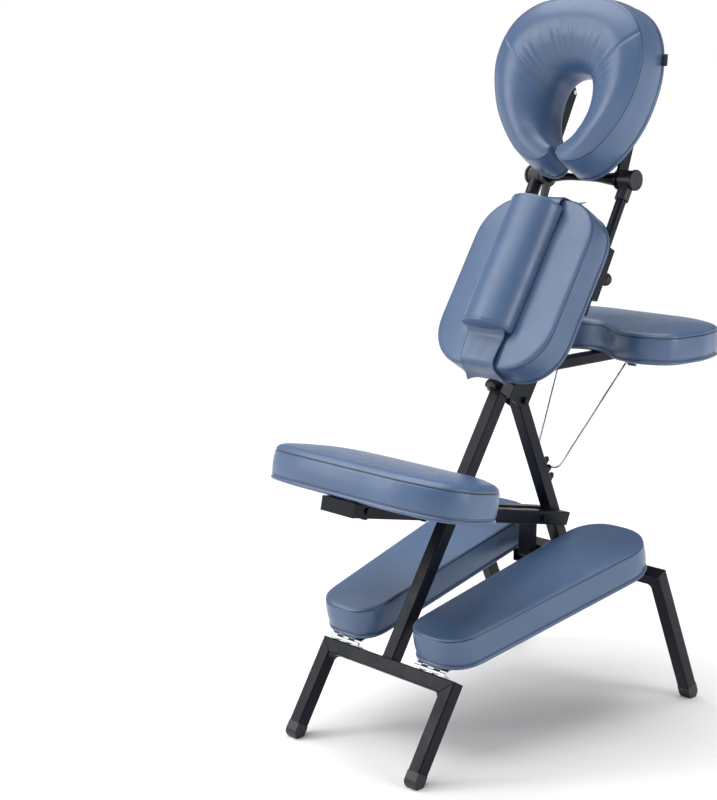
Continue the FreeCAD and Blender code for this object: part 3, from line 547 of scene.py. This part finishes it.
# bolster: a D-shaped roll with flat sewn ends
def bolster():
    half, rise, base = 53.5, 48.0, 73.2
    profile = []
    for t in np.linspace(0, 1, 81):
        a = math.pi * t
        x = half * math.cos(a)
        z = rise * math.sin(a) ** 0.86
        profile.append((x, z))
    for x in np.linspace(-half, half, 30)[1:-1]:
        profile.append((x, -1.6 - 1.2 * math.cos(x / half * math.pi / 2)))
    profile = np.array(profile)
    centre = np.array([0, 16.0])
    count = len(profile)
    length = np.concatenate([[788.0, 788.0, 788.0, 788.3, 789.0, 790.0, 791.2, 793.0],
                             np.linspace(797, 1029, 26),
                             [1033.0, 1034.8, 1036.0, 1037.0, 1037.7, 1038.0, 1038.0, 1038.0]])
    inner = [0.0, 0.5, 0.86, 0.955, 0.985, 0.972, 0.99, 0.998]
    scale = np.concatenate([inner, np.ones(26), inner[::-1]])
    rng = ripple(count, 61, range(5, 22), 1.0)
    rows = []
    for s, k in zip(length, scale):
        near = math.exp(-min(s - 788, 1038 - s) / 9.0)
        swell = 1 + 0.012 * math.sin(math.pi * (s - 788) / 250)
        ring = centre + (profile - centre) * (k * swell)
        radial = (profile - centre) / np.linalg.norm(profile - centre, axis=1)[:, None]
        ring = ring + radial * (0.5 * near * rng * (k > 0.9))[:, None]
        end_push = 2.2 * (1 - min(k, 1.0)) * (1 if s > 913 else -1)
        rows.append(np.column_stack([ring[:, 0], np.full(count, s + end_push), ring[:, 1] + base]))
    verts = np.vstack(rows)
    faces = []
    for r in range(len(rows) - 1):
        for i in range(count):
            j = (i + 1) % count
            faces.append((r * count + i, (r + 1) * count + i, (r + 1) * count + j, r * count + j))
    obj = add_mesh("bolster", to_row(verts, CHEST), faces, VINYL, "chest")
    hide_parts("chest_bolster")
    for tag, s in (("low", 792.6), ("high", 1033.4)):
        arc = profile[3:78]
        path = np.column_stack([arc[:, 0] * 1.004, np.full(len(arc), s), arc[:, 1] * 1.004 + base])
        nrm = np.column_stack([arc[:, 0], np.zeros(len(arc)), arc[:, 1] - 10])
        stitches("bolster_stitches_" + tag, path, nrm, CHEST, "chest", THREAD_LIGHT,
                 3.6, 2.7, 0.3, -0.1, False)


bolster()


def strap(name, path, widths, flare, seed):
    """Vinyl flap of two skins: path runs (along the spine, out towards the sitter), width varies along it."""
    path = np.array(path, float)
    along = np.concatenate([[0], np.cumsum(np.linalg.norm(np.diff(path, axis=0), axis=1))])
    at = np.linspace(0, along[-1], 60)
    s = np.interp(at, along, path[:, 0])
    z = np.interp(at, along, path[:, 1])
    kernel = np.ones(5) / 5
    s = np.convolve(np.r_[[s[0]] * 2, s, [s[-1]] * 2], kernel, "valid")
    z = np.convolve(np.r_[[z[0]] * 2, z, [z[-1]] * 2], kernel, "valid")
    half = np.interp(at / along[-1], [w[0] for w in widths], [w[1] for w in widths])
    rng = random.Random(seed)
    phase = [rng.uniform(0, 6.28) for _ in range(4)]
    rows = []
    cols = 41
    for k in range(len(at)):
        row = []
        t = at[k] / along[-1]
        a = max(k - 1, 0)
        b = min(k + 1, len(at) - 1)
        d = np.array([s[b] - s[a], z[b] - z[a]])
        d /= np.linalg.norm(d)
        n = np.array([d[1], -d[0]]) * flare[0]
        for c in range(cols):
            u = -1 + 2 * c / (cols - 1)
            wave = 0.35 * math.sin(3 * u + phase[0] + 2 * t) + 0.12 * math.sin(8 * u + phase[1] + 3 * t)
            curl = flare[1] * max(0, t - 0.55) ** 1.5 * abs(u) ** 3
            lift = (0.3 + t) * wave * 0.9 + curl + flare[2] * t * u * u
            tip = flare[3] * max(0, t - 0.4) ** 1.3 * (abs(u) ** 2.5)
            row.append((u * half[k], s[k] + n[0] * lift + d[0] * tip, z[k] + n[1] * lift + d[1] * tip))
        rows.append(row)
    verts, faces = skins(rows, 1.6)
    obj = add_mesh(name, to_row(verts, CHEST), faces, VINYL, "chest")
    return obj


strap_high = strap("bolster_strap_high", [(1030, 92), (1037, 84), (1043, 77.5), (1052, 75.5),
                                          (1058, 70), (1061, 58),
                                          (1062, 44), (1064, 30), (1069, 18)],
                   [(0, 50), (0.2, 46), (0.5, 41), (0.8, 43), (1, 48)], (-1, 16, 3, 13), 71)
strap_low = strap("bolster_strap_low", [(791, 92), (785, 82), (779, 77.0), (752, 76.5),
                                        (732, 75.0), (724, 70), (720, 60),
                                        (718, 46), (714, 32)],
                  [(0, 45), (0.15, 43), (0.55, 38), (0.8, 40), (1, 47)], (1, 14, 2, 15), 72)
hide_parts("bolster_straps")


# ---- face cushion: a padded horseshoe -----------------------------------------------------
def spline(points, count):
    """Even samples of a smooth curve through the points."""
    pts = np.array(points, float)
    ext = np.vstack([2 * pts[0] - pts[1], pts, 2 * pts[-1] - pts[-2]])
    out = []
    for i in range(1, len(ext) - 2):
        p0, p1, p2, p3 = ext[i - 1:i + 3]
        for t in np.linspace(0, 1, 24, endpoint=False):
            out.append(0.5 * (2 * p1 + (p2 - p0) * t + (2 * p0 - 5 * p1 + 4 * p2 - p3) * t * t
                              + (3 * p1 - p0 - 3 * p2 + p3) * t ** 3))
    out.append(ext[-2])
    out = np.array(out)
    along = np.concatenate([[0], np.cumsum(np.linalg.norm(np.diff(out, axis=0), axis=1))])
    at = np.linspace(0, along[-1], count)
    return np.column_stack([np.interp(at, along, out[:, k]) for k in range(out.shape[1])])


def lean(points):
    """The face pad's front is a little wider than its base and sits higher."""
    out = np.array(points, float)
    t = np.clip((out[:, 2] - 31.4) / 61.0, 0, 1.3)
    out[:, 2] += t * (5.0 + 24.0 * np.clip(out[:, 1] / 300.0, 0, 1.05))
    out[:, 0] *= 1 + t * (0.07 - 0.09 * np.clip(1 - out[:, 1] / 190.0, 0, 1))
    out[:, 1] = out[:, 1] * (1 - 0.09 * t) + 17.0 * t
    return out


def face_cushion():
    outer_half = [(8.5, 3), (14, -6), (32, -13), (62, -9), (92, 9), (121, 44), (144, 88), (156, 138),
                  (157, 185), (145, 235),
                  (119, 274), (80, 299), (38, 308)]
    inner_half = [(8.2, 20), (11, 26), (19, 36), (29, 48), (40, 68), (47, 92), (48, 118), (44, 142),
                  (34, 160), (18, 171)]
    outer = spline(outer_half + [(0, 310)] + [(-x, y) for x, y in reversed(outer_half)], 401)
    inner = spline(inner_half + [(0, 174)] + [(-x, y) for x, y in reversed(inner_half)], 401)
    cuts = (0.335, 0.665)
    picks = set(np.linspace(0, 400, 161).astype(int))
    for cut in cuts:
        picks |= {int(cut * 400) + k for k in (-2, -1, 0, 1, 2)}
    picks = np.array(sorted(picks))
    seam_z = 61.0
    rows, count = [], None
    fold = ripple(401, 81, range(24, 60, 3), 1.0)
    fine = ripple(401, 82, range(40, 120, 7), 0.35)
    for i in picks:
        o, n = outer[i], inner[i]
        span = n - o
        width = np.linalg.norm(span)
        d = span / width
        end = min(i, 400 - i) / 400
        full = min(1.0, end / 0.12) ** 0.7
        ease = min(1.0, end / 0.012)
        crest = seam_z + 12.5 * full
        bowl = 18.0 + 34.0 * (1 - full)
        groove = sum(math.exp(-((i / 400 - c) * 400 / 0.9) ** 2) for c in cuts)
        pts = [(width * 0.5, 0.0), (12.0, 0.0), (2.5, 0.2), (-0.6, 2.0), (-1.2, 4.0),
               (0.2, 6.4), (0.9, 7.4), (0.4, 8.6)]
        for t in (0.12, 0.28, 0.45, 0.62, 0.78, 0.9):
            pts.append((-2.6 * math.sin(math.pi * t) * ease, 8.6 + (seam_z - 11.5) * t))
        pts += [(-0.1, seam_z - 1.7), (0.4, seam_z - 0.9), (1.9, seam_z - 0.3),
                (2.0, seam_z + 0.3), (0.9, seam_z + 0.9),
                (1.8, seam_z + 1.8), (3.6, seam_z + 2.8)]
        peak = 0.36 * width
        for t in np.linspace(0.14, 1.0, 9):
            x = 3.6 + (peak - 3.6) * t
            pts.append((x, seam_z + 2.8 + (crest - seam_z - 2.8) * math.sin(t * math.pi / 2)))
        for t in np.linspace(0.06, 1.0, 20):
            a = t * math.pi / 2
            x = peak + (width - peak) * math.sin(a) ** 0.92
            z = bowl + (crest - bowl) * math.cos(a) ** 0.85
            pts.append((x, z))
        for t in (0.25, 0.5, 0.75, 0.93):
            pts.append((width + 1.0 * math.sin(math.pi * t), bowl * (1 - t)))
        pts += [(width - 2.5, 0.1), (width - 12.0, 0.0) if width > 40 else (width * 0.7, 0.0)]
        pts = np.array(pts)
        inset = np.clip((pts[:, 0] - peak) / max(width - peak, 1), 0, 1)
        wrinkle = (inset * (1 - inset) * 4) ** 1.3 * (pts[:, 1] > bowl * 0.5)
        top_part = math.exp(-((i / 400 - 0.5) / 0.2) ** 2)
        pts[:, 1] -= wrinkle * (1.1 * fold[i] * top_part + 0.8 * fine[i]) * full
        on_top = (pts[:, 0] > 1.0) & (pts[:, 1] > seam_z - 0.7) | (inset > 0)
        pts[:, 1] -= 1.3 * groove * on_top
        edge = np.exp(-np.abs(pts[:, 1] - seam_z) / 5.0) * (pts[:, 0] < 8)
        pts[:, 0] += 0.5 * fine[i] * edge
        count = len(pts)
        flat = o + np.outer(pts[:, 0], d)
        rows.append(np.column_stack([flat, pts[:, 1] + 31.4]))
    # rounded closing panels at the two ends
    first, last = rows[0], rows[-1]

    def cap(row, push):
        out = []
        centre = row.mean(axis=0)
        for k, drop in ((0.97, 0.35), (0.93, 0.8), (0.6, 1.6), (0.2, 2.0), (0.0, 2.0)):
            ring = centre + (row - centre) * k
            ring[:, 0] += push * drop
            out.append(ring)
        return out

    rows = cap(first, -1.0)[::-1] + rows + cap(last, 1.0)
    verts = lean(np.vstack(rows))
    faces, dark = [], []
    for r in range(len(rows) - 1):
        for i in range(count):
            j = (i + 1) % count
            # faces in the seam groove and lip fold get the darker vinyl as painted shade
            if i in (15, 16, 17, 5, 6) and 4 < r < len(rows) - 6:
                dark.append(len(faces))
            faces.append((r * count + i, r * count + j, (r + 1) * count + j, (r + 1) * count + i))
    obj = add_mesh("face_pad", to_row(verts, FACE), faces, VINYL, "face_cradle", dark)
    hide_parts("face_cushion")
    d = inner - outer
    d /= np.linalg.norm(d, axis=1)[:, None]
    keep = slice(4, -4)
    path = np.column_stack([outer + d * 4.6, np.full(401, seam_z + 3.3 + 31.4)])[keep]
    up = np.column_stack([-d * 0.3, np.ones(401)])[keep]
    stitches("face_seam_stitches", lean(path), up, FACE, "face_cradle", THREAD_LIGHT,
             3.6, 2.7, 0.32, 0.0, False)
    path = np.column_stack([outer + d * 0.7, np.full(401, 7.4 + 31.4)])[keep]
    out = np.column_stack([-d, np.zeros(401)])[keep]
    stitches("face_lip_stitches", lean(path), out, FACE, "face_cradle", THREAD_DARK, closed=False)


face_cushion()


# ---- weld beads -----------------------------------------------------------------------------
def bead(name, path, matrix, body, radius=1.7, seed=1):
    """A weld bead: a tube along the path with the ripple of laid metal."""
    path = np.array(path, float)
    along = np.concatenate([[0], np.cumsum(np.linalg.norm(np.diff(path, axis=0), axis=1))])
    count = max(6, int(along[-1] / 0.9))
    at = np.linspace(0, along[-1], count)
    mid = np.column_stack([np.interp(at, along, path[:, k]) for k in range(3)])
    rng = random.Random(seed)
    verts, faces = [], []
    for k in range(count):
        a, b = mid[max(k - 1, 0)], mid[min(k + 1, count - 1)]
        d = (b - a) / np.linalg.norm(b - a)
        ref = np.array([0, 0, 1.0]) if abs(d[2]) < 0.9 else np.array([1.0, 0, 0])
        e1 = np.cross(d, ref)
        e1 /= np.linalg.norm(e1)
        e2 = np.cross(d, e1)
        r = radius * (1 + 0.14 * math.sin(at[k] * 2.1) + rng.uniform(-0.06, 0.06))
        if k in (0, count - 1):
            r *= 0.3
        for q in range(8):
            w = math.pi * q / 4
            verts.append(mid[k] + (e1 * math.cos(w) + e2 * math.sin(w)) * r)
    for k in range(count - 1):
        for q in range(8):
            p = (q + 1) % 8
            faces.append((k * 8 + q, k * 8 + p, k * 8 + 8 + p, k * 8 + 8 + q))
    faces.append(tuple(range(8)))
    faces.append(tuple((count - 1) * 8 + q for q in reversed(range(8))))
    return add_mesh(name, to_row(verts, matrix), faces, WELD, body)


H = TUBE / 2
for tag, matrix, body, top in (("front", FRONT, "front_frame", 194.4), ("rear", REAR, "rear_frame", 288.0)):
    for k, y in enumerate((0.4, TUBE - 0.4)):
        bead("weld_%s_%d" % (tag, k), [(-H + 1, y, top), (H - 1, y, top)], matrix, body, 1.5, k)
    for k, x in enumerate((-H - 0.2, H + 0.2)):
        bead("weld_%s_side_%d" % (tag, k), [(x, 2, top + 0.2), (x, TUBE - 2, top + 0.2)],
             matrix, body, 1.6, k + 5)
for tag, matrix, body, top, width in (("front", FRONT, "front_frame", 194.4, 320.0),
                                      ("rear", REAR, "rear_frame", 288.0, 465.0)):
    for sx in (-1, 1):
        x1 = width / 2
        for k, y in enumerate((-0.1, TUBE + 0.1)):
            mitre = [(sx * (x1 - 1.5), y, top - 1.5), (sx * (x1 - TUBE + 1), y, top - TUBE + 1)]
            bead("weld_%s_mitre_%d_%d" % (tag, sx + 1, k), mitre, matrix, body, 0.8, k + 11)
for sx in (-1, 1):
    for k, s in enumerate((930.0, 985.0)):
        x = sx * 10.4
        bead("weld_arm_%d_%d" % (sx + 1, k), [(x, 4.5, s + 10), (x, 20.5, s + 10)], FRONT, "chest", 1.4, 21 + k)
        bead("weld_arm_low_%d_%d" % (sx + 1, k), [(x, 4.5, s - 10), (x, 20.5, s - 10)],
             FRONT, "chest", 1.4, 31 + k)
for sx in (-1, 1):
    edge = [(sx * 12.8, TUBE + 0.3, 712), (sx * 12.8, TUBE + 0.3, 744)]
    bead("weld_bracket_%d" % (sx + 1), edge, FRONT, "front_frame", 1.5, 41)


# ---- small fittings ----------------------------------------------------------------------------
def turned(name, profile, origin, axis, matrix, body, material, sides=28):
    """A lathe-turned piece: profile of (along, radius) from its base outwards."""
    axis = Vector(axis).normalized()
    side = axis.orthogonal().normalized()
    up = axis.cross(side)
    verts, faces = [], []
    for h, r in profile:
        for q in range(sides):
            a = 2 * math.pi * q / sides
            verts.append(Vector(origin) + axis * h + (side * math.cos(a) + up * math.sin(a)) * r)
    for k in range(len(profile) - 1):
        for q in range(sides):
            p = (q + 1) % sides
            faces.append((k * sides + q, k * sides + p, k * sides + sides + p, k * sides + sides + q))
    faces.append(tuple(reversed(range(sides))))
    faces.append(tuple((len(profile) - 1) * sides + q for q in range(sides)))
    return add_mesh(name, to_row([tuple(v) for v in verts], matrix), faces, material, body)


SCREW = [(0, 3.6), (0.7, 3.6), (1.5, 2.9), (1.9, 1.7), (1.9, 1.2), (1.2, 1.0), (1.2, 0.01)]
for sx, side in ((1, "right"), (-1, "left")):
    for k, x in enumerate((76.0, 90.0, 118.0, 132.0)):
        turned("hinge_screw_%s_%d" % (side, k), SCREW, (sx * x, 11.5, 195.9), (0, 0, 1),
               FRONT, "front_frame", ZINC, 16)
CAP = [(0, 18.4), (0.6, 18.9), (4.2, 18.9), (5.4, 18.2), (6.0, 16.8), (6.1, 15.2), (5.6, 14.6),
       (5.6, 13.0), (5.9, 8.0), (6.0, 0.01)]
caps = [turned("hub_cap_" + tag, CAP, (sx * 118, 0, 0), (sx, 0, 0), HEAD, "headrest_frame", PLASTIC, 48)
        for sx, tag in ((1, "right"), (-1, "left"))]
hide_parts("hub_caps")


def cloth_tag():
    """Plain folded loop label with no lettering, sewn into the right side of the face pad."""
    rows = []
    for t in np.linspace(0, 1, 25):
        out = 158.0 + 11.0 * math.sin(math.pi * t) ** 0.7
        rows.append([(out - (y - 196) * 0.16, y, 44.0 + 2.6 * math.cos(math.pi * t))
                     for y in np.linspace(196, 216, 5)])
    verts, faces = skins(rows, 0.6)
    return add_mesh("plain_tag", to_row(verts, FACE), faces, TAG, "face_cradle")


def woven(name):
    mat, tree, bsdf, coord = shader(name, (0.012, 0.013, 0.018), 0.75)
    wave = tree.nodes.new("ShaderNodeTexWave")
    wave.inputs["Scale"].default_value = 900.0
    wave.inputs["Distortion"].default_value = 0.4
    tree.links.new(coord, wave.inputs["Vector"])
    bump(tree, bsdf, wave.outputs["Fac"], 0.6, 0.0002)
    tone = ramp(tree, wave.outputs["Fac"], (0.008, 0.009, 0.013), (0.03, 0.032, 0.04))
    tree.links.new(tone, bsdf.inputs["Base Color"])
    return mat


TAG = woven("tag_tape")
cloth_tag()


# ---- floor, light, camera ------------------------------------------------------------------------
def studio():
    mesh = bpy.data.meshes.new("floor")
    size = 300.0
    corners = [(-size, -size, 0), (size, -size, 0), (size, size, 0), (-size, size, 0)]
    mesh.from_pydata(corners, [], [(0, 1, 2, 3)])
    floor = bpy.data.objects.new("floor", mesh)
    bpy.context.scene.collection.objects.link(floor)
    mat, tree, bsdf, coord = shader("pale_floor", (0.84, 0.84, 0.84), 0.7)
    bsdf.inputs["Specular IOR Level"].default_value = 0.15
    tree.links.new(ramp(tree, noise(tree, coord, 3.0), 0.83, 0.85), bsdf.inputs["Base Color"])
    mesh.materials.append(mat)
    world = bpy.data.worlds.new("studio")
    world.use_nodes = True
    nodes, links = world.node_tree.nodes, world.node_tree.links
    where = nodes.new("ShaderNodeTexCoord")
    split = nodes.new("ShaderNodeSeparateXYZ")
    links.new(where.outputs["Generated"], split.inputs["Vector"])
    band = nodes.new("ShaderNodeValToRGB")
    stops = band.color_ramp.elements
    stops[0].position, stops[0].color = 0.0, (1.0, 1.0, 1.0, 1)
    stops[1].position, stops[1].color = 0.16, (0.22, 0.225, 0.235, 1)
    stops.new(0.07).color = (1.0, 1.0, 1.0, 1)
    stops.new(0.75).color = (0.34, 0.34, 0.35, 1)
    links.new(split.outputs["Z"], band.inputs["Fac"])
    links.new(band.outputs["Color"], nodes["Background"].inputs["Color"])
    nodes["Background"].inputs["Strength"].default_value = 1.0
    bpy.context.scene.world = world
    sun = bpy.data.lights.new("overhead", "SUN")
    sun.energy = 3.3
    sun.angle = math.radians(70)
    lamp = bpy.data.objects.new("overhead", sun)
    lamp.rotation_euler = Vector((0.30, 0.16, -1.0)).to_track_quat("-Z", "Y").to_euler()
    bpy.context.scene.collection.objects.link(lamp)
    for name, spot, size, power in (("window", (-2.0, -2.4, 1.9), (0.7, 2.2), 34),
                                    ("strip", (2.6, 0.6, 1.6), (0.5, 2.0), 26)):
        data = bpy.data.lights.new(name, "AREA")
        data.shape = "RECTANGLE"
        data.size, data.size_y = size
        data.energy = power
        light = bpy.data.objects.new(name, data)
        light.location = spot
        light.rotation_euler = (Vector((0, 0, 0.7)) - Vector(spot)).to_track_quat("-Z", "Y").to_euler()
        bpy.context.scene.collection.objects.link(light)


studio()
camera_data = bpy.data.cameras.new("camera")
camera_data.sensor_width = 36.0
camera_data.lens = 73.57
camera = bpy.data.objects.new("camera", camera_data)
camera.location = (1.90426, -2.19009, 1.14696)
camera.rotation_euler = (math.radians(78.82), 0, math.radians(46.35))
bpy.context.scene.collection.objects.link(camera)
bpy.context.scene.camera = camera
bpy.context.scene.view_settings.view_transform = "Standard"
